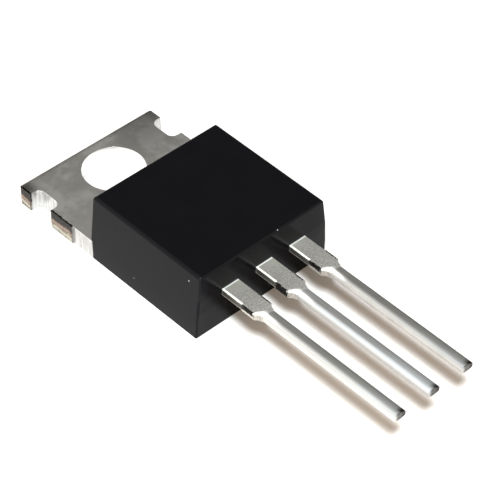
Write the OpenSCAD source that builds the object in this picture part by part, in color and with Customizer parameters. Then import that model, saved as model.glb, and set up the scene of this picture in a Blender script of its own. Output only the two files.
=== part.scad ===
// Three-lead power voltage regulator: a moulded epoxy body on a plated copper heat sink.
// Origin: centre of the mounting hole at the back face. +Y runs to the free end of the tab,
// -Y to the lead tips, +X to the input lead, +Z from the back face to the marked face.

/* [Heat sink] */
// Width of the tab across its ears
tab_w = 10.06; // [9.9:0.02:10.4]
// Thickness of the tab
tab_t = 1.27; // [1.15:0.01:1.4]
// Distance from the hole centre to the free end
tab_end = 2.7; // [2.6:0.05:2.9]
// Radius of the corners at the free end
tab_corner_r = 0.3; // [0.1:0.05:0.5]
// Radius of the rolled upper edge at the free end
tab_roll_r = 0.25; // [0.05:0.05:0.4]
// Diameter of the mounting hole
hole_d = 3.84; // [3.6:0.02:4]
// Distance from the hole centre to the near edge of the end ear
end_ear_y = 1.62; // [1.5:0.02:1.8]
// Length of the side notch between the two ears
notch_len = 1.88; // [1.6:0.02:2]
// Depth of the side notch
notch_depth = 0.74; // [0.5:0.02:0.85]
// Radius of the inner corners of the side notch
notch_r = 0.45; // [0.1:0.05:0.45]
// Length of the second ear
ear_len = 1.92; // [1.7:0.02:2.1]
// Step from the second ear in to the plated side of the tab
ear_step = 0.1; // [0.05:0.01:0.3]
// Thickness of the epoxy beside the pad under the body
pad_wall = 0.8; // [0.5:0.01:1]
// Distance from the lead end of the body to the end of the pad
pad_margin = 1.5; // [1.4:0.1:2]

/* [Moulded body] */
// Distance from the hole centre to the body beside the tab
body_y = 3.85; // [3.7:0.05:4]
// Length of the body at the parting plane
body_l = 9; // [8.8:0.05:9.2]
// Height of the marked face above the back face
body_h = 4.5; // [4.4:0.05:4.7]
// Distance from the ears of the tab in to the side of the body
body_inset = 0.11; // [0.05:0.01:0.3]
// Distance that each side leans in from the top of the tab up to the marked face
side_draft = 0.26; // [0.1:0.01:0.4]
// Distance that each side leans out from the top of the tab down to the back face
base_flare = 0.03; // [0:0.01:0.06]
// Distance that the body overhangs the top of the tab
body_lip = 0.14; // [0.05:0.01:0.25]
// Distance that the face over the tab leans back by the marked face
tab_draft = 0.08; // [0.05:0.01:0.25]
// Distance that the face over the leads leans back by the marked face
lead_draft = 0.07; // [0.05:0.01:0.2]
// Distance that the face under the leads leans back by the back face
base_draft = 0.17; // [0.05:0.01:0.25]
// Radius of the upright corners of the body
body_corner_r = 0.08; // [0.05:0.01:0.3]
// Radius of the soft edge round the marked face
edge_r = 0.22; // [0.05:0.01:0.3]

/* [Leads] */
// Spacing of the leads
lead_pitch = 2.54; // [2.5:0.01:2.6]
// Thickness of the leads
lead_t = 0.45; // [0.4:0.01:0.5]
// Height of the upper face of the leads above the back face
lead_z = 2.78; // [2.7:0.01:2.85]
// Width of the narrow part of a lead
lead_w = 0.84; // [0.7:0.01:0.9]
// Length of a lead outside the body
lead_l = 13.1; // [12.7:0.05:13.4]
// Radius of the long edges of the narrow part
lead_edge_r = 0.16; // [0.05:0.01:0.18]
// Distance that the faces of the narrow part fall away at their long edges
lead_crown = 0.07; // [0.02:0.01:0.1]
// Width of the shoulder next to the body
shoulder_w = 1.2; // [1.1:0.01:1.3]
// Length of the shoulder next to the body
shoulder_l = 2.57; // [2.4:0.01:2.8]
// Length of the sheared stub at the end of the shoulder
stub_l = 0.94; // [0.8:0.02:1.1]
// Distance that the sheared stub stands out of the shoulder
stub_out = 0.05; // [0.02:0.01:0.1]
// Radius of the neck between the shoulder and the narrow part
neck_r = 0.5; // [0.35:0.05:0.6]

/* [Inside the body] */
// Width of a bond post
post_w = 2; // [1.6:0.1:2.2]
// Length of a bond post
post_l = 1.5; // [1.2:0.1:1.8]
// Distance from the lead end of the body to a bond post
post_margin = 1; // [0.8:0.1:1.3]
// Distance from the lead end of the body to the slope of the output lead
slope_margin = 0.3; // [0.2:0.05:0.4]
// Width of the silicon die
die_w = 2.6; // [2.2:0.1:3]
// Length of the silicon die
die_l = 3; // [2.6:0.1:3.2]
// Thickness of the silicon die
die_t = 0.3; // [0.2:0.02:0.4]
// Distance from the end of the pad to the die
die_margin = 1.95; // [1.7:0.05:2.2]
// Thickness of the solder under the die
solder_t = 0.05; // [0.03:0.01:0.1]
// Distance that the solder shows round the die
solder_rim = 0.1; // [0.05:0.05:0.2]
// Diameter of a bond wire
wire_d = 0.2; // [0.12:0.02:0.25]
// Height of the bow of a bond wire over its chord
wire_bow = 0.55; // [0.4:0.05:0.7]

/* [Hidden] */
$fn = 96;
hull_fn = 32;
edge_steps = 4;
sliver = 0.01;

tab_x = tab_w / 2;
side_x = tab_x - ear_step;
notch_x = tab_x - notch_depth;
notch_y = end_ear_y - notch_len;
ear_y = notch_y - ear_len;
front_y = -(body_y + body_l);
pad_end_y = front_y + pad_margin;
body_w = tab_w - 2 * body_inset;
top_w = body_w - 2 * side_draft;
base_w = body_w + 2 * base_flare;
pad_w = base_w - 2 * pad_wall;

foot_l = 0.6;
foot_w = 0.3;
foot_t = 0.14;
wire_seat = 0.12;
die_top = tab_t + solder_t + die_t;
die_end_y = pad_end_y + die_margin;
wire_start_y = die_end_y + foot_l;
post_y = front_y + post_margin;
post_mid_y = post_y + post_l / 2;

body_copper = [0.62, 0.62, 0.6];
lead_tin = [0.68, 0.67, 0.65];
epoxy_black = [0.09, 0.09, 0.1];

// Flat copper plate: ears, notches and mounting hole outside, plain pad under the body.
module tab_outline() {
    difference() {
        union() {
            translate([-tab_x + tab_corner_r, ear_y])
                square([tab_w - 2 * tab_corner_r, tab_end - ear_y]);
            translate([-tab_x, ear_y])
                square([tab_w, tab_end - tab_corner_r - ear_y]);
            for (side = [-1, 1])
                translate([side * (tab_x - tab_corner_r), tab_end - tab_corner_r])
                    circle(tab_corner_r);
            translate([-side_x, -body_y])
                square([2 * side_x, ear_y + body_y + sliver]);
            translate([-pad_w / 2, pad_end_y])
                square([pad_w, -body_y - pad_end_y + sliver]);
        }
        for (side = [0, 1])
            mirror([side, 0])
                notch_outline();
        circle(d = hole_d);
    }
}

// Side view of the plate: square, but for the rolled upper edge at its free end.
module tab_side_outline() {
    start_y = pad_end_y - sliver;
    translate([start_y, -sliver])
        square([tab_end - tab_roll_r - start_y, tab_t + sliver]);
    translate([start_y, -sliver])
        square([tab_end + sliver - start_y, tab_t + sliver - tab_roll_r]);
    translate([tab_end - tab_roll_r, tab_t - tab_roll_r])
        circle(tab_roll_r);
}

// Open-sided notch with two rounded inner corners.
module notch_outline() {
    translate([notch_x + notch_r, notch_y])
        square([notch_depth, notch_len]);
    translate([notch_x, notch_y + notch_r])
        square([notch_depth, notch_len - 2 * notch_r]);
    for (y = [notch_y + notch_r, end_ear_y - notch_r])
        translate([notch_x + notch_r, y])
            circle(notch_r);
}

// Shoulder, sheared stubs and the neck down to the narrow part, in plan from the body's face.
module shoulder_outline() {
    stub_w = shoulder_w + 2 * stub_out;
    translate([-shoulder_w / 2, -shoulder_l])
        square([shoulder_w, shoulder_l]);
    translate([-stub_w / 2, -shoulder_l])
        square([stub_w, stub_l]);
    difference() {
        translate([-stub_w / 2, -shoulder_l - neck_r])
            square([stub_w, neck_r + sliver]);
        for (side = [-1, 1])
            translate([side * (lead_w / 2 + neck_r), -shoulder_l - neck_r])
                circle(neck_r);
    }
}

// Cross-section of the narrow part, with rounded long edges and crowned faces.
module lead_section() {
    crown_r = (lead_w * lead_w / 4 + lead_crown * lead_crown) / (2 * lead_crown);
    intersection() {
        union() {
            for (x = [-1, 1], z = [-1, 1])
                translate([x * (lead_w / 2 - lead_edge_r), z * (lead_t / 2 - lead_edge_r)])
                    circle(lead_edge_r);
            square([lead_w - 2 * lead_edge_r, lead_t], center = true);
            square([lead_w, lead_t - 2 * lead_edge_r], center = true);
        }
        translate([0, lead_t / 2 - crown_r])
            circle(crown_r);
        translate([0, crown_r - lead_t / 2])
            circle(crown_r);
    }
}

// The part of a lead outside the body, from its face to the tip.
module outer_lead() {
    translate([0, front_y, lead_z - lead_t])
        linear_extrude(lead_t)
            shoulder_outline();
    translate([0, front_y - shoulder_l + sliver, lead_z - lead_t / 2])
        rotate([90, 0, 0])
            linear_extrude(lead_l - shoulder_l + sliver)
                lead_section();
}

// A whole side lead: the bond post in the epoxy, the stem through its wall and the outer lead.
module side_lead(side) {
    color(lead_tin) {
        translate([side * lead_pitch, 0, 0]) {
            outer_lead();
            translate([-shoulder_w / 2, front_y - sliver, lead_z - lead_t])
                cube([shoulder_w, post_margin + 2 * sliver, lead_t]);
            translate([-post_w / 2, post_y, lead_z - lead_t])
                cube([post_w, post_l, lead_t]);
        }
    }
}

// Side view of the output lead where it slopes from the lead plane down to the pad.
module slope_outline() {
    foot_y = pad_end_y - lead_t / 2;
    head_y = front_y + slope_margin;
    slope = atan2(lead_z - tab_t, foot_y - head_y);
    mitre = lead_t / 2 * tan(slope / 2);
    polygon([
        [pad_end_y + sliver, tab_t - lead_t],
        [pad_end_y + sliver, tab_t],
        [foot_y + mitre, tab_t],
        [head_y + mitre, lead_z],
        [front_y - sliver, lead_z],
        [front_y - sliver, lead_z - lead_t],
        [head_y - mitre, lead_z - lead_t],
        [foot_y - mitre, tab_t - lead_t]
    ]);
}

module heat_sink_and_output_lead() {
    color(body_copper) {
        intersection() {
            linear_extrude(tab_t + sliver)
                tab_outline();
            rotate([90, 0, 90])
                linear_extrude(tab_w + 2 * sliver, center = true)
                    tab_side_outline();
        }
        outer_lead();
        rotate([90, 0, 90])
            translate([0, 0, -shoulder_w / 2])
                linear_extrude(shoulder_w)
                    slope_outline();
    }
}

module adjust_lead() {
    side_lead(-1);
}

module input_lead() {
    side_lead(1);
}

module silicon_die() {
    color([0.35, 0.36, 0.4])
        translate([-die_w / 2, die_end_y, tab_t + solder_t])
            cube([die_w, die_l, die_t]);
}

module die_solder() {
    color([0.7, 0.7, 0.72])
        translate([-die_w / 2 - solder_rim, die_end_y - solder_rim, tab_t])
            cube([die_w + 2 * solder_rim, die_l + 2 * solder_rim, solder_t]);
}

// Bowed wire with a flattened foot at each end, from a point on one face to a point on another.
module bond_wire(from, to) {
    run = norm([to[0] - from[0], to[1] - from[1]]);
    rise = to[2] - from[2];
    chord = norm([run, rise]);
    bend_r = (chord * chord / 4 + wire_bow * wire_bow) / (2 * wire_bow);
    half_angle = asin(chord / 2 / bend_r);
    tilt = atan2(rise, run);
    heading = atan2(to[1] - from[1], to[0] - from[0]);
    color([0.8, 0.8, 0.82]) {
        translate(from)
            rotate([0, 0, heading]) {
                wire_foot();
                translate([run, 0, rise])
                    wire_foot();
                translate([0, 0, wire_seat])
                    rotate([90, -tilt, 0])
                        translate([chord / 2, wire_bow - bend_r, 0])
                            rotate([0, 0, 90 - half_angle])
                                rotate_extrude(angle = 2 * half_angle)
                                    translate([bend_r, 0])
                                        circle(d = wire_d);
            }
    }
}

module wire_foot() {
    translate([-foot_l / 2, -foot_w / 2, 0])
        cube([foot_l, foot_w, foot_t]);
}

module adjust_bond_wire() {
    bond_wire([-die_w / 4, wire_start_y, die_top], [-lead_pitch, post_mid_y, lead_z]);
}

module input_bond_wire() {
    bond_wire([die_w / 4, wire_start_y, die_top], [lead_pitch, post_mid_y, lead_z]);
}

module output_bond_wire() {
    landing_y = pad_end_y + foot_l;
    bond_wire([0, wire_start_y, die_top], [0, landing_y, tab_t]);
}

// Value on the straight line from [at, value] to [at, value].
function between(z, low, high) = low[1] + (high[1] - low[1]) * (z - low[0]) / (high[0] - low[0]);

// One level of the body: four corner discs, given its width and its two end faces.
module body_level(z, width, y_lead, y_tab) {
    for (x = [-1, 1], y = [y_lead + body_corner_r, y_tab - body_corner_r])
        translate([x * (width / 2 - body_corner_r), y, z])
            cylinder(h = sliver, r = body_corner_r, $fn = hull_fn);
}

// Outside of the moulding, before the pieces inside it are taken out.
module body_shell() {
    rim_z = body_h - edge_r;
    lead_level_w = between(lead_z, [tab_t, body_w], [rim_z, top_w]);
    tab_level_y = between(tab_t, [0, front_y + base_draft], [lead_z, front_y]);
    lip_y = -body_y + body_lip;
    rim_front_y = front_y + lead_draft;
    rim_back_y = lip_y - tab_draft;
    lead_level_y = between(lead_z, [tab_t, lip_y], [rim_z, rim_back_y]);
    hull() {
        body_level(0, base_w, front_y + base_draft, -body_y);
        body_level(tab_t, body_w, tab_level_y, -body_y);
    }
    hull() {
        body_level(tab_t, body_w, tab_level_y, lip_y);
        body_level(lead_z - sliver, lead_level_w, front_y, lead_level_y);
        for (turn = [0 : 90 / edge_steps : 90]) {
            inset = edge_r * (1 - cos(turn));
            body_level(rim_z + (edge_r - sliver) * sin(turn), top_w - 2 * inset,
                rim_front_y + inset, rim_back_y - inset);
        }
    }
}

module epoxy_body() {
    color(epoxy_black)
        difference() {
            body_shell();
            heat_sink_and_output_lead();
            adjust_lead();
            input_lead();
            silicon_die();
            die_solder();
            adjust_bond_wire();
            output_bond_wire();
            input_bond_wire();
        }
}

epoxy_body();
heat_sink_and_output_lead();
adjust_lead();
input_lead();
silicon_die();
die_solder();
adjust_bond_wire();
output_bond_wire();
input_bond_wire();
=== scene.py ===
import math

import bpy
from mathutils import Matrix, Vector

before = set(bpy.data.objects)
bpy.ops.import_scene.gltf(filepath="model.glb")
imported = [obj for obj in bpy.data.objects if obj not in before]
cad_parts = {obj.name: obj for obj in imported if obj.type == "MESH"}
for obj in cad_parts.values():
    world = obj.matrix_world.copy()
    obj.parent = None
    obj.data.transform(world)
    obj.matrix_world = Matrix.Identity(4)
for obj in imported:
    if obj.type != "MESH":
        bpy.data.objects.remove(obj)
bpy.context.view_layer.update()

MM = 0.001

# The camera, solved from the photograph
CAMERA_AT = Vector((-65.81, -82.68, 95.72)) * MM
CAMERA_AIM = Vector((0.086, -11.631, 2.78)) * MM
FOCAL_PIXELS = 2411
FRAME_PIXELS = 500
SENSOR_MM = 36
CLIP_START = 0.005
CLIP_END = 10

# Places on the CAD pieces that the looks follow
BODY_TOP = 4.5 * MM
FACE_RIM = 4.34 * MM
BODY_FRONT = -12.85 * MM
TAB_T = 1.27 * MM
EAR_STARTS = (-2.18 * MM, 1.62 * MM)
LEAD_PITCH = 2.54 * MM
LEAD_TOP = 2.78 * MM
LEAD_LOW = 2.33 * MM
STUB_START = -14.47 * MM
STUB_END = -15.43 * MM
NECK_END = -15.92 * MM
LEAD_TIP = -25.95 * MM


# Node trees

class Shader:
    """A material being wired up: each call adds one node or a few and returns their output."""

    def __init__(self, name):
        self.material = bpy.data.materials.new(name)
        self.material.use_nodes = True
        self.tree = self.material.node_tree
        self.surface = self.tree.nodes["Principled BSDF"]

    def node(self, kind, **values):
        made = self.tree.nodes.new(kind)
        for name, value in values.items():
            setattr(made, name, value)
        return made

    def put(self, socket, value):
        if isinstance(value, bpy.types.NodeSocket):
            self.tree.links.new(value, socket)
        else:
            socket.default_value = value

    def position(self):
        return self.node("ShaderNodeTexCoord").outputs["Object"]

    def axes(self, vector):
        split = self.node("ShaderNodeSeparateXYZ")
        self.put(split.inputs[0], vector)
        return split.outputs

    def maths(self, operation, *inputs, clamp=False):
        made = self.node("ShaderNodeMath", operation=operation, use_clamp=clamp)
        for socket, value in zip(made.inputs, inputs):
            self.put(socket, value)
        return made.outputs[0]

    def product(self, first, *others):
        for other in others:
            first = self.maths("MULTIPLY", first, other)
        return first

    def ramp(self, value, low, high):
        """0 below low, 1 above high, smooth between them."""
        made = self.node("ShaderNodeMapRange", interpolation_type="SMOOTHSTEP")
        for socket, item in zip(made.inputs, (value, low, high)):
            self.put(socket, item)
        return made.outputs[0]

    def band(self, value, low, high, soft):
        rise = self.ramp(value, low - soft, low + soft)
        fall = self.ramp(value, high - soft, high + soft)
        return self.maths("SUBTRACT", rise, fall, clamp=True)

    def noise(self, vector, size, detail, roughness=0.5):
        made = self.node("ShaderNodeTexNoise")
        self.put(made.inputs["Vector"], vector)
        made.inputs["Scale"].default_value = 1 / size
        made.inputs["Detail"].default_value = detail
        made.inputs["Roughness"].default_value = roughness
        return made.outputs["Fac"]

    def wander(self, noise, reach):
        """A noise value as a shift to either side of 0, reach wide in all."""
        return self.product(self.maths("SUBTRACT", noise, 0.5), reach)

    def stretched(self, vector, scale):
        made = self.node("ShaderNodeMapping")
        self.put(made.inputs["Vector"], vector)
        made.inputs["Scale"].default_value = scale
        return made.outputs[0]

    def colours(self, value, stops):
        """The colour at value on a scale of (place, colour) stops."""
        made = self.node("ShaderNodeValToRGB")
        self.put(made.inputs[0], value)
        scale = made.color_ramp.elements
        while len(scale) < len(stops):
            scale.new(0.5)
        for element, (place, colour) in zip(scale, stops):
            element.position = place
            element.color = colour
        return made.outputs[0]

    def spread(self, value, low, high):
        """A noise value stretched to run from low to high."""
        made = self.node("ShaderNodeMapRange")
        for socket, item in zip(made.inputs, (value, 0.25, 0.75, low, high)):
            self.put(socket, item)
        return made.outputs[0]

    def mix(self, share, first, second):
        made = self.node("ShaderNodeMix", data_type="RGBA")
        self.put(made.inputs[0], share)
        self.put(made.inputs[6], first)
        self.put(made.inputs[7], second)
        return made.outputs[2]

    def spot(self, vector, centre, radius):
        """1 inside a round spot, fading to 0 just outside it."""
        made = self.node("ShaderNodeVectorMath", operation="DISTANCE")
        self.put(made.inputs[0], vector)
        made.inputs[1].default_value = centre
        return self.ramp(made.outputs["Value"], radius * 1.3, radius * 0.5)

    def radius(self, vector):
        """Distance from the axis of the mounting hole."""
        x, y, _ = self.axes(vector)
        return self.maths("SQRT", self.maths("ADD", self.product(x, x), self.product(y, y)))

    def off_lead(self, x):
        """Distance towards +X from the middle of the nearest lead."""
        nearest = self.maths("SNAP", self.maths("ADD", x, LEAD_PITCH / 2), LEAD_PITCH)
        return self.maths("SUBTRACT", x, nearest)

    def bump(self, height, strength, depth):
        made = self.node("ShaderNodeBump")
        made.inputs["Strength"].default_value = strength
        made.inputs["Distance"].default_value = depth
        self.put(made.inputs["Height"], height)
        self.put(self.surface.inputs["Normal"], made.outputs[0])

    def set(self, **values):
        for name, value in values.items():
            self.put(self.surface.inputs[name.replace("_", " ")], value)


def rgba(red, green, blue):
    return (red, green, blue, 1.0)


# Materials

EPOXY_DARK = rgba(0.0019, 0.0018, 0.0022)
EPOXY_PALE = rgba(0.0026, 0.0025, 0.0030)
EPOXY_PAINTED_REFLECTION = rgba(0.0042, 0.0044, 0.0058)
EPOXY_CORNER_PAINTED_LIGHT = rgba(0.0085, 0.0085, 0.0092)
DUST = rgba(0.42, 0.42, 0.40)
FULL_SHINE = rgba(1, 1, 1)
NO_SHINE = rgba(0, 0, 0)
TIN_BRIGHT = rgba(0.81, 0.805, 0.785)
TIN_DULL = rgba(0.50, 0.50, 0.49)
TIN_CLOUD = rgba(0.90, 0.91, 0.90)
BLASTED_DARK = rgba(0.32, 0.305, 0.285)
BLASTED_PALE = rgba(0.67, 0.64, 0.59)
TIN_FRESH = rgba(0.84, 0.79, 0.66)
TIN_PAINTED_HIGHLIGHT = rgba(0.95, 0.93, 0.86)
TIN_PAINTED_WHITE = rgba(0.86, 0.86, 0.85)
TIN_WALL_DARK = rgba(0.42, 0.425, 0.43)
TIN_WALL_PALE = rgba(0.74, 0.75, 0.755)
SHOULDER_WALL_PAINTED_REFLECTION = rgba(0.16, 0.155, 0.14)
NEAR_BLACK_METAL = rgba(0.05, 0.047, 0.046)
GREY_TIN_AND_PAINTED_SHADE = rgba(0.15, 0.15, 0.15)
ROLLED_EDGE_PAINTED_SHADE = rgba(0.012, 0.011, 0.010)
SHEAR_SPECK = rgba(0.20, 0.21, 0.22)
COPPER_BROWN = rgba(0.13, 0.085, 0.06)
COPPER_PALE = rgba(0.33, 0.26, 0.21)
SMEARED_TIN = rgba(0.46, 0.45, 0.385)
SHEAR_EDGE = rgba(0.07, 0.06, 0.05)

# Roughness of the tin: the heat sink's lead, the side leads, the tab and the blasted shoulders
SINK_ROUGHNESS = 0.45
LEAD_ROUGHNESS = 0.33
TAB_ROUGHNESS = 0.30
BLASTED_ROUGHNESS = 0.5

# Share of dull tin between the streaks of a lead
SINK_DULLNESS = 0.6
LEAD_DULLNESS = 0.0

EPOXY_IOR = 1.17

# How far out the sides of the marked face start to turn grey with painted reflection of the bright
# floor, and where they are greyest
SIDE_FADE = (3.9 * MM, 4.75 * MM)

# The same for the painted reflection on its front corners, as the sum of the distances out and
# forward
CORNER_FADE = (17.60 * MM, 17.86 * MM)
CORNER_LEAN = 0.06

# A small dark round spot on the front wall, darker in its colour and in its reflection
DARK_SPOT_AT = (-4.40 * MM, -12.80 * MM, 2.05 * MM)
DARK_SPOT_RADIUS = 0.22 * MM
SPECK_RADIUS = 0.05 * MM

# Small marks on the epoxy: middle, radius, strength and colour
EPOXY_MARKS = (
    ((-4.70 * MM, -11.91 * MM, 3.77 * MM), SPECK_RADIUS, 0.8, DUST),
    ((1.13 * MM, -12.77 * MM, 4.43 * MM), SPECK_RADIUS, 1.0, DUST),
    ((-4.95 * MM, -7.46 * MM, 0.93 * MM), SPECK_RADIUS, 0.3, DUST),
    (DARK_SPOT_AT, DARK_SPOT_RADIUS, 1.0, EPOXY_DARK),
)

# Where a zone starts and where it is full: the hole's wall by its radius, and by their distance
# from the middle the plated side walls and the cut faces of the ears and the stubs
HOLE_WALL = (1.96 * MM, 1.93 * MM)
PLATED_WALL = (4.22 * MM, 4.27 * MM)
EAR_CUT = (5.05 * MM, 5.09 * MM)
STUB_CUT = (0.70 * MM, 0.74 * MM)

# Colours up a sheared face, from its lower edge (0) to its upper edge (1); the near-black top is
# painted shade for the die-rolled edge
SINK_SHEAR = (
    (0.0, SHEAR_EDGE),
    (0.08, SMEARED_TIN),
    (0.24, SMEARED_TIN),
    (0.34, COPPER_BROWN),
    (0.42, COPPER_PALE),
    (0.48, COPPER_PALE),
    (0.58, COPPER_BROWN),
    (0.66, ROLLED_EDGE_PAINTED_SHADE),
    (1.0, ROLLED_EDGE_PAINTED_SHADE),
)
LEAD_SHEAR = (
    (0.0, SMEARED_TIN),
    (0.26, TIN_BRIGHT),
    (0.40, COPPER_BROWN),
    (0.50, ROLLED_EDGE_PAINTED_SHADE),
    (1.0, ROLLED_EDGE_PAINTED_SHADE),
)


def epoxy_material():
    """Black moulding compound: fine spark-eroded grain, with painted reflection making it greyer at
    the sides and front corners.
    """
    made = Shader("moulded_epoxy")
    place = made.position()
    x, y, z = made.axes(place)
    grain = made.noise(place, 0.06 * MM, 3)
    cloud = made.noise(place, 1.6 * MM, 2)
    out = made.maths("ABSOLUTE", x)
    below_top = made.ramp(z, BODY_TOP, FACE_RIM)
    side = made.product(made.ramp(out, *SIDE_FADE), below_top)
    corner = made.maths("ADD", made.maths("SUBTRACT", out, y), made.product(z, CORNER_LEAN))
    corner = made.product(made.ramp(corner, *CORNER_FADE), below_top)
    colour = made.mix(cloud, EPOXY_DARK, EPOXY_PALE)
    # Painted reflection: the sides are painted greyer where they would mirror the bright floor.
    colour = made.mix(side, colour, EPOXY_PAINTED_REFLECTION)
    # Painted reflection: the front corners are painted paler, against the dark line their shading
    # would show.
    colour = made.mix(corner, colour, EPOXY_CORNER_PAINTED_LIGHT)
    for centre, radius, share, stain in EPOXY_MARKS:
        colour = made.mix(made.product(made.spot(place, centre, radius), share), colour, stain)
    # Painted shade: the front wall's reflection is dimmed through its specular tint.
    made.set(Base_Color=colour, Roughness=made.spread(cloud, 0.16, 0.2),
             Specular_Tint=made.mix(front_painted_shade(made, place), FULL_SHINE, NO_SHINE))
    made.surface.inputs["IOR"].default_value = EPOXY_IOR
    made.bump(grain, 0.1, 0.01 * MM)
    return made.material


def front_painted_shade(made, place):
    """Where the epoxy's reflection is cut down as painted shade: the front wall, most of all in a
    band below the leads.
    """
    x, y, z = made.axes(place)
    below_leads = made.ramp(z, LEAD_TOP + 0.04 * MM, LEAD_TOP - 0.04 * MM)
    on_front = made.ramp(y, BODY_FRONT + 0.3 * MM, BODY_FRONT + 0.2 * MM)
    level = made.maths("SUBTRACT", z, made.product(x, 0.06))
    share = made.maths("ADD", made.product(made.ramp(level, 1.85 * MM, 2.1 * MM), 0.6), 0.4)
    wall = made.product(below_leads, on_front, share)
    return made.maths("MAXIMUM", wall, made.spot(place, DARK_SPOT_AT, DARK_SPOT_RADIUS))


def tin_material(name, roughness, dullness, sheared, shear_colours, low, high):
    """Matt tin plate, with cut metal between the heights low and high where sheared says."""
    made = Shader(name)
    place = made.position()
    x, y, height = made.axes(place)
    cloud = made.noise(place, 1.3 * MM, 4, 0.6)
    grain = made.noise(place, 0.05 * MM, 3, 0.7)
    speckle = made.noise(place, 0.1 * MM, 2, 0.6)
    ragged = made.noise(made.stretched(place, (1, 1, 0.35)), 0.12 * MM, 3, 0.7)
    on_tab = made.ramp(y, -6 * MM, -4.5 * MM)
    on_shoulder = made.band(y, NECK_END, BODY_FRONT, 0.15 * MM)
    in_hole = made.ramp(made.radius(place), *HOLE_WALL)
    painted_highlight = painted_highlights(made, place)

    tin = made.mix(made.spread(cloud, 0.15, 0.85), TIN_DULL, TIN_BRIGHT)
    tin = made.mix(tab_clouds(made, place, on_tab), tin, TIN_CLOUD)
    tin = made.mix(lead_streaks(made, place, y, dullness), tin, TIN_DULL)
    tin = grey_on_tab(made, tin, place, ragged)
    tin = made.mix(on_shoulder, tin, shoulder_colour(made, place, speckle))
    # Painted highlight: bright edges and the white scoop are painted into the tin.
    tin = made.mix(painted_highlight, tin, TIN_PAINTED_HIGHLIGHT)
    # Painted reflection: the hole's wall is painted near white, as it would mirror the bright
    # floor.
    tin = made.mix(in_hole, tin, TIN_PAINTED_WHITE)
    tin = side_walls(made, tin, place)
    tin = made.mix(dark_tip(made, x, y), tin, NEAR_BLACK_METAL)

    up = made.maths("DIVIDE", made.maths("SUBTRACT", height, low), high - low)
    up = made.maths("ADD", up, made.wander(ragged, 0.34))
    up = made.maths("ADD", up, made.wander(made.noise(place, 0.7 * MM, 2), 0.5))
    # Painted shade: the upper part of a cut face is near black where its die-rolled edge turns from
    # the light.
    shear = made.colours(up, shear_colours)
    shear = made.mix(made.product(made.ramp(speckle, 0.6, 0.7), 0.5), shear, SHEAR_SPECK)
    for start in EAR_STARTS:
        shear = made.mix(made.band(y, start, start + 0.07 * MM, 0.03 * MM), shear, NEAR_BLACK_METAL)

    worn = made.spread(cloud, roughness + 0.02, roughness - 0.02)
    near_tip = made.ramp(y, LEAD_TIP + 6 * MM, LEAD_TIP + 1 * MM)
    for zone, change in ((on_shoulder, BLASTED_ROUGHNESS - roughness),
                         (on_tab, TAB_ROUGHNESS - roughness),
                         (painted_highlight, 0.3), (near_tip, 0.03)):
        worn = made.maths("ADD", worn, made.product(zone, change))

    made.set(Base_Color=made.mix(sheared(made, place, ragged), tin, shear), Roughness=worn)
    made.surface.inputs["Metallic"].default_value = 1.0
    made.bump(grain, 0.3, 0.006 * MM)
    return made.material


def tab_clouds(made, place, on_tab):
    """Soft pale clouds on the tab."""
    cloud = made.noise(made.stretched(place, (1, 0.8, 1)), 1.6 * MM, 4, 0.6)
    return made.product(made.ramp(cloud, 0.43, 0.62), on_tab, 0.95)


def lead_streaks(made, place, y, dullness):
    """Duller streaks along a lead, past its stubs."""
    streak = made.noise(made.stretched(place, (1, 0.06, 1)), 0.12 * MM, 3, 0.6)
    return made.product(made.ramp(y, STUB_END, NECK_END),
                        made.spread(streak, dullness, dullness + 0.35))


def dark_tip(made, x, y):
    """Near-black on the cut end of a lead, reaching further up on its +X side."""
    off = made.off_lead(x)
    side = made.product(made.ramp(y, LEAD_TIP + 0.5 * MM, LEAD_TIP + 0.08 * MM),
                        made.ramp(off, -0.14 * MM, 0.2 * MM))
    end = made.product(made.ramp(y, LEAD_TIP + 0.12 * MM, LEAD_TIP + 0.02 * MM),
                       made.ramp(off, -0.4 * MM, -0.12 * MM), 0.85)
    return made.maths("MAXIMUM", side, end)


def grey_on_tab(made, tin, place, ragged):
    """Greyer metal at the end ears and the +X side, painted shade along the free end for its rolled
    edge, paler metal near the body.
    """
    x, y, z = made.axes(place)
    wander = made.wander(ragged, 0.5 * MM)
    out = made.maths("ADD", made.product(x, -1.0), wander)
    at_end_ears = made.ramp(y, 1.2 * MM, 2.1 * MM)
    # Painted shade: the rolled free end is painted darker, as it would face the dim room.
    free_end = made.ramp(made.maths("ADD", y, wander), 2.2 * MM, 2.6 * MM)
    near_ear = made.product(made.ramp(out, 4.0 * MM, 4.8 * MM), at_end_ears,
                            made.ramp(z, 0.9 * MM, 1.2 * MM))
    far_side = made.product(made.ramp(out, -1.0 * MM, -3.6 * MM),
                            made.ramp(y, -1.0 * MM, 1.4 * MM))
    near_body = made.product(made.ramp(out, 1.2 * MM, 3.4 * MM), made.ramp(y, 0.0, -3.0 * MM))
    far_ear = made.product(made.ramp(out, -4.2 * MM, -4.9 * MM), at_end_ears)
    for zone, share, colour in ((free_end, 0.55, GREY_TIN_AND_PAINTED_SHADE), (near_ear, 0.9, GREY_TIN_AND_PAINTED_SHADE),
                                (far_side, 0.42, GREY_TIN_AND_PAINTED_SHADE), (near_body, 0.4, TIN_CLOUD),
                                (far_ear, 0.5, GREY_TIN_AND_PAINTED_SHADE)):
        tin = made.mix(made.product(zone, share), tin, colour)
    return tin


def side_walls(made, tin, place):
    """Duller tin with upright drag lines on the side walls of the tab and in its notches."""
    x, _, z = made.axes(place)
    lines = made.noise(made.stretched(place, (1, 1, 0.12)), 0.16 * MM, 2, 0.6)
    metal = made.mix(made.spread(lines, 0.0, 1.0), TIN_WALL_DARK, TIN_WALL_PALE)
    wall = made.product(made.ramp(made.maths("ABSOLUTE", x), *PLATED_WALL),
                        made.ramp(z, TAB_T - 0.02 * MM, TAB_T - 0.09 * MM))
    return made.mix(wall, tin, metal)


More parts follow.
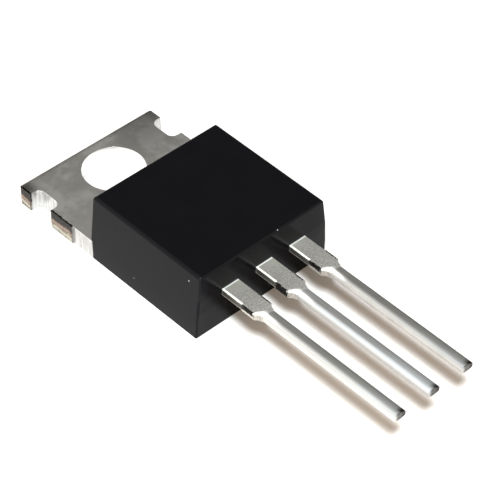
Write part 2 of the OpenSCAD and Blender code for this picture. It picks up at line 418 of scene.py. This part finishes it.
def shoulder_colour(made, place, speckle):
    """Grainy tin, paler at the root, and darker down the walls with painted reflection of the black
    body.
    """
    x, y, z = made.axes(place)
    fresh = made.ramp(y, BODY_FRONT - 1.3 * MM, BODY_FRONT)
    before_stub = made.ramp(y, STUB_START - 0.05 * MM, STUB_START + 0.05 * MM)
    # Painted reflection: the side walls are painted dark, as they would mirror the black body.
    wall = made.product(made.ramp(made.maths("ABSOLUTE", made.off_lead(x)), 0.565 * MM, 0.59 * MM),
                        made.band(z, LEAD_LOW + 0.06 * MM, LEAD_TOP - 0.09 * MM, 0.03 * MM),
                        before_stub)
    colour = made.mix(made.spread(speckle, 0.0, 1.0), BLASTED_DARK, BLASTED_PALE)
    colour = made.mix(made.product(fresh, 0.7), colour, TIN_FRESH)
    return made.mix(wall, colour, SHOULDER_WALL_PAINTED_REFLECTION)


def painted_highlights(made, place):
    """Painted highlight on the -X edge and the root of a shoulder, and painted reflection in the
    scoop behind its stub.
    """
    x, y, z = made.axes(place)
    off = made.off_lead(x)
    on_top = made.ramp(z, LEAD_TOP - 0.05 * MM, LEAD_TOP - 0.03 * MM)
    shoulder = made.band(y, STUB_START, BODY_FRONT, 0.05 * MM)
    edge = made.product(made.ramp(off, -0.485 * MM, -0.525 * MM), shoulder)
    root = made.product(made.ramp(y, BODY_FRONT - 0.12 * MM, BODY_FRONT - 0.08 * MM),
                        shoulder, 0.6)
    slanted = made.maths("ADD", y, made.product(off, 0.55))
    scoop = made.product(made.ramp(off, 0.16 * MM, -0.3 * MM),
                         made.ramp(slanted, STUB_END - 0.16 * MM, STUB_END - 0.36 * MM),
                         made.ramp(y, NECK_END - 1.3 * MM, NECK_END - 0.1 * MM))
    bright = made.maths("MAXIMUM", made.maths("MAXIMUM", edge, root), scoop)
    return made.product(bright, on_top)


def sheared_on_sink(made, place, ragged):
    """Cut metal on the ears, torn over the upper edge on the -X side, and on the lead's stubs."""
    x, y, _ = made.axes(place)
    torn = made.ramp(x, 1.0 * MM, -1.0 * MM)
    tear = made.maths("SUBTRACT", made.product(ragged, 0.3 * MM), 0.06 * MM)
    reach = made.maths("ADD", made.maths("ABSOLUTE", x), made.product(tear, torn))
    reach = made.maths("ADD", reach, 0.06 * MM)
    first_ear = EAR_STARTS[0]
    ears = made.product(made.ramp(reach, *EAR_CUT),
                        made.ramp(y, first_ear - 0.02 * MM, first_ear + 0.02 * MM))
    return made.maths("ADD", ears, sheared_on_lead(0.0)(made, place, ragged), clamp=True)


def sheared_on_lead(lead_x):
    """A function that says where the stubs of the lead at lead_x show cut metal."""
    def where(made, place, ragged):
        x, y, _ = made.axes(place)
        off = made.maths("ABSOLUTE", made.maths("SUBTRACT", x, lead_x))
        reach = made.maths("ADD", off, made.product(ragged, 0.3 * MM))
        along = made.maths("ADD", y, made.wander(ragged, 0.9 * MM))
        return made.product(made.ramp(reach, *STUB_CUT),
                            made.band(along, STUB_END, STUB_START, 0.06 * MM))
    return where


# Pieces

SINK_BEVEL = 0.05 * MM
LEAD_BEVEL = 0.06 * MM
BEVEL_SEGMENTS = 3
BEVEL_FROM = math.radians(35)
SPLIT_FROM = math.radians(30)
WELD_GAP = 1e-6
FLAT_WITHIN = math.radians(0.6)
BIG_FACE_WEIGHT = 80


def soften(node, width):
    """The CAD node as it is, with its sharp edges broken by modifiers."""
    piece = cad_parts[node]
    tidy_faces(piece)
    bevel = piece.modifiers.new("bevel", "BEVEL")
    bevel.width = width
    bevel.segments = BEVEL_SEGMENTS
    bevel.limit_method = "ANGLE"
    bevel.angle_limit = BEVEL_FROM
    bevel.harden_normals = True
    return piece


def tidy_faces(piece):
    """Joins the CAD mesh's split corners and flat faces, so that it shades and bevels cleanly."""
    weld = piece.modifiers.new("weld", "WELD")
    weld.merge_threshold = WELD_GAP
    planar = piece.modifiers.new("planar", "DECIMATE")
    planar.decimate_type = "DISSOLVE"
    planar.angle_limit = FLAT_WITHIN


def smooth_shading(node):
    """Crisp corners stay crisp, and shallow ones are shaded as one round."""
    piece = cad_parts[node]
    tidy_faces(piece)
    piece.modifiers.new("split", "EDGE_SPLIT").split_angle = SPLIT_FROM
    piece.modifiers.new("weigh", "WEIGHTED_NORMAL").weight = BIG_FACE_WEIGHT
    return piece


def dress(piece, material):
    piece.data.materials.clear()
    piece.data.materials.append(material)


def inner_material(name, first, second, size, roughness, metallic):
    """A plain metal or silicon for a piece inside the moulding, with light mottling."""
    made = Shader(name)
    cloud = made.noise(made.position(), size, 3)
    made.set(Base_Color=made.mix(cloud, first, second),
             Roughness=made.spread(cloud, roughness - 0.05, roughness + 0.05))
    made.surface.inputs["Metallic"].default_value = metallic
    made.bump(cloud, 0.1, 0.005 * MM)
    return made.material


def dress_inside():
    silicon = inner_material("silicon", rgba(0.10, 0.11, 0.13), rgba(0.14, 0.15, 0.18),
                             0.4 * MM, 0.2, 0.6)
    solder = inner_material("solder", rgba(0.42, 0.42, 0.43), rgba(0.56, 0.56, 0.56),
                            0.2 * MM, 0.45, 1.0)
    wire = inner_material("aluminium_wire", rgba(0.74, 0.75, 0.76), rgba(0.84, 0.85, 0.86),
                          0.15 * MM, 0.3, 1.0)
    for node, material in (("silicon_die", silicon), ("die_solder", solder),
                           ("adjust_bond_wire", wire), ("output_bond_wire", wire),
                           ("input_bond_wire", wire)):
        dress(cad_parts[node], material)


def build_part():
    dress(smooth_shading("epoxy_body"), epoxy_material())
    dress(soften("heat_sink_and_output_lead", SINK_BEVEL),
          tin_material("tin_on_sink", SINK_ROUGHNESS, SINK_DULLNESS, sheared_on_sink,
                       SINK_SHEAR, 0.0, TAB_T))
    for node, lead_x in (("adjust_lead", -LEAD_PITCH), ("input_lead", LEAD_PITCH)):
        dress(soften(node, LEAD_BEVEL),
              tin_material("tin_on_" + node, LEAD_ROUGHNESS, LEAD_DULLNESS,
                           sheared_on_lead(lead_x), LEAD_SHEAR, LEAD_LOW, LEAD_TOP))
    dress_inside()


# Stage

FLOOR_COLOUR = rgba(0.495, 0.441, 0.398)
FLOOR_HALF = 0.6
FLOOR_HEIGHT = -0.02 * MM
KEY_AIM = Vector((0, -12 * MM, 0))
KEY_FROM = Vector((-0.34, -0.42, 1.0))
KEY_DISTANCE = 0.45
KEY_SIZE = 0.09
KEY_WATTS = 5.3
KEY_COLOUR = (0.80, 0.927, 1.03)
ROOM_BRIGHT = rgba(1.5, 1.37, 1.21)
ROOM_DARK = rgba(0.22, 0.21, 0.195)
ROOM_LOW = rgba(0.09, 0.085, 0.08)


def link(item):
    bpy.context.scene.collection.objects.link(item)


def make_floor():
    mesh = bpy.data.meshes.new("floor")
    corners = [(x * FLOOR_HALF, y * FLOOR_HALF, 0) for x, y in ((-1, -1), (1, -1), (1, 1), (-1, 1))]
    mesh.from_pydata(corners, [], [(0, 1, 2, 3)])
    floor = bpy.data.objects.new("floor", mesh)
    floor.location.z = FLOOR_HEIGHT
    link(floor)
    made = Shader("pale_floor")
    made.set(Base_Color=FLOOR_COLOUR, Roughness=0.9)
    mesh.materials.append(made.material)


def make_room():
    """Soft surroundings: bright to -X and low down to -Y, dim above, dark low down elsewhere."""
    world = bpy.data.worlds.new("studio")
    world.use_nodes = True
    tree = world.node_tree
    look = tree.nodes.new("ShaderNodeTexCoord")
    split = tree.nodes.new("ShaderNodeSeparateXYZ")
    tree.links.new(look.outputs["Generated"], split.inputs[0])

    def fade(axis, dim, bright):
        """0 where that part of the direction is dim, 1 where it is bright."""
        made = tree.nodes.new("ShaderNodeMapRange")
        made.interpolation_type = "SMOOTHSTEP"
        made.inputs["From Min"].default_value = dim
        made.inputs["From Max"].default_value = bright
        tree.links.new(split.outputs[axis], made.inputs["Value"])
        return made.outputs[0]

    def combine(operation, first, second):
        made = tree.nodes.new("ShaderNodeMath")
        made.operation = operation
        tree.links.new(first, made.inputs[0])
        tree.links.new(second, made.inputs[1])
        return made.outputs[0]

    def blend(share, first, second):
        made = tree.nodes.new("ShaderNodeMix")
        made.data_type = "RGBA"
        tree.links.new(share, made.inputs[0])
        for socket, value in ((made.inputs[6], first), (made.inputs[7], second)):
            if isinstance(value, bpy.types.NodeSocket):
                tree.links.new(value, socket)
            else:
                socket.default_value = value
        return made.outputs[2]

    side = fade("X", 0.4, -0.2)
    front = combine("MULTIPLY", fade("Y", -0.35, -0.7), fade("Z", 0.75, 0.5))
    away = combine("MULTIPLY", combine("MAXIMUM", fade("X", 0.2, 0.6), fade("Y", 0.2, 0.6)),
                   fade("Z", 0.6, 0.2))
    dim = blend(away, ROOM_DARK, ROOM_LOW)
    colour = blend(combine("MAXIMUM", side, front), dim, ROOM_BRIGHT)
    tree.links.new(colour, tree.nodes["Background"].inputs["Color"])
    bpy.context.scene.world = world


def make_key_light():
    data = bpy.data.lights.new("key", "AREA")
    data.shape = "RECTANGLE"
    data.size = KEY_SIZE
    data.size_y = KEY_SIZE
    data.energy = KEY_WATTS
    data.color = KEY_COLOUR
    light = bpy.data.objects.new("key", data)
    light.location = KEY_AIM + KEY_FROM.normalized() * KEY_DISTANCE
    light.rotation_mode = "QUATERNION"
    light.rotation_quaternion = (KEY_AIM - light.location).to_track_quat("-Z", "Y")
    link(light)


def make_camera():
    data = bpy.data.cameras.new("camera")
    data.sensor_width = SENSOR_MM
    data.lens = FOCAL_PIXELS * SENSOR_MM / FRAME_PIXELS
    data.clip_start = CLIP_START
    data.clip_end = CLIP_END
    camera = bpy.data.objects.new("camera", data)
    camera.location = CAMERA_AT
    camera.rotation_mode = "QUATERNION"
    camera.rotation_quaternion = (CAMERA_AIM - CAMERA_AT).to_track_quat("-Z", "Y")
    link(camera)
    bpy.context.scene.camera = camera


build_part()
make_floor()
make_room()
make_key_light()
make_camera()
bpy.context.scene.view_settings.view_transform = "Standard"
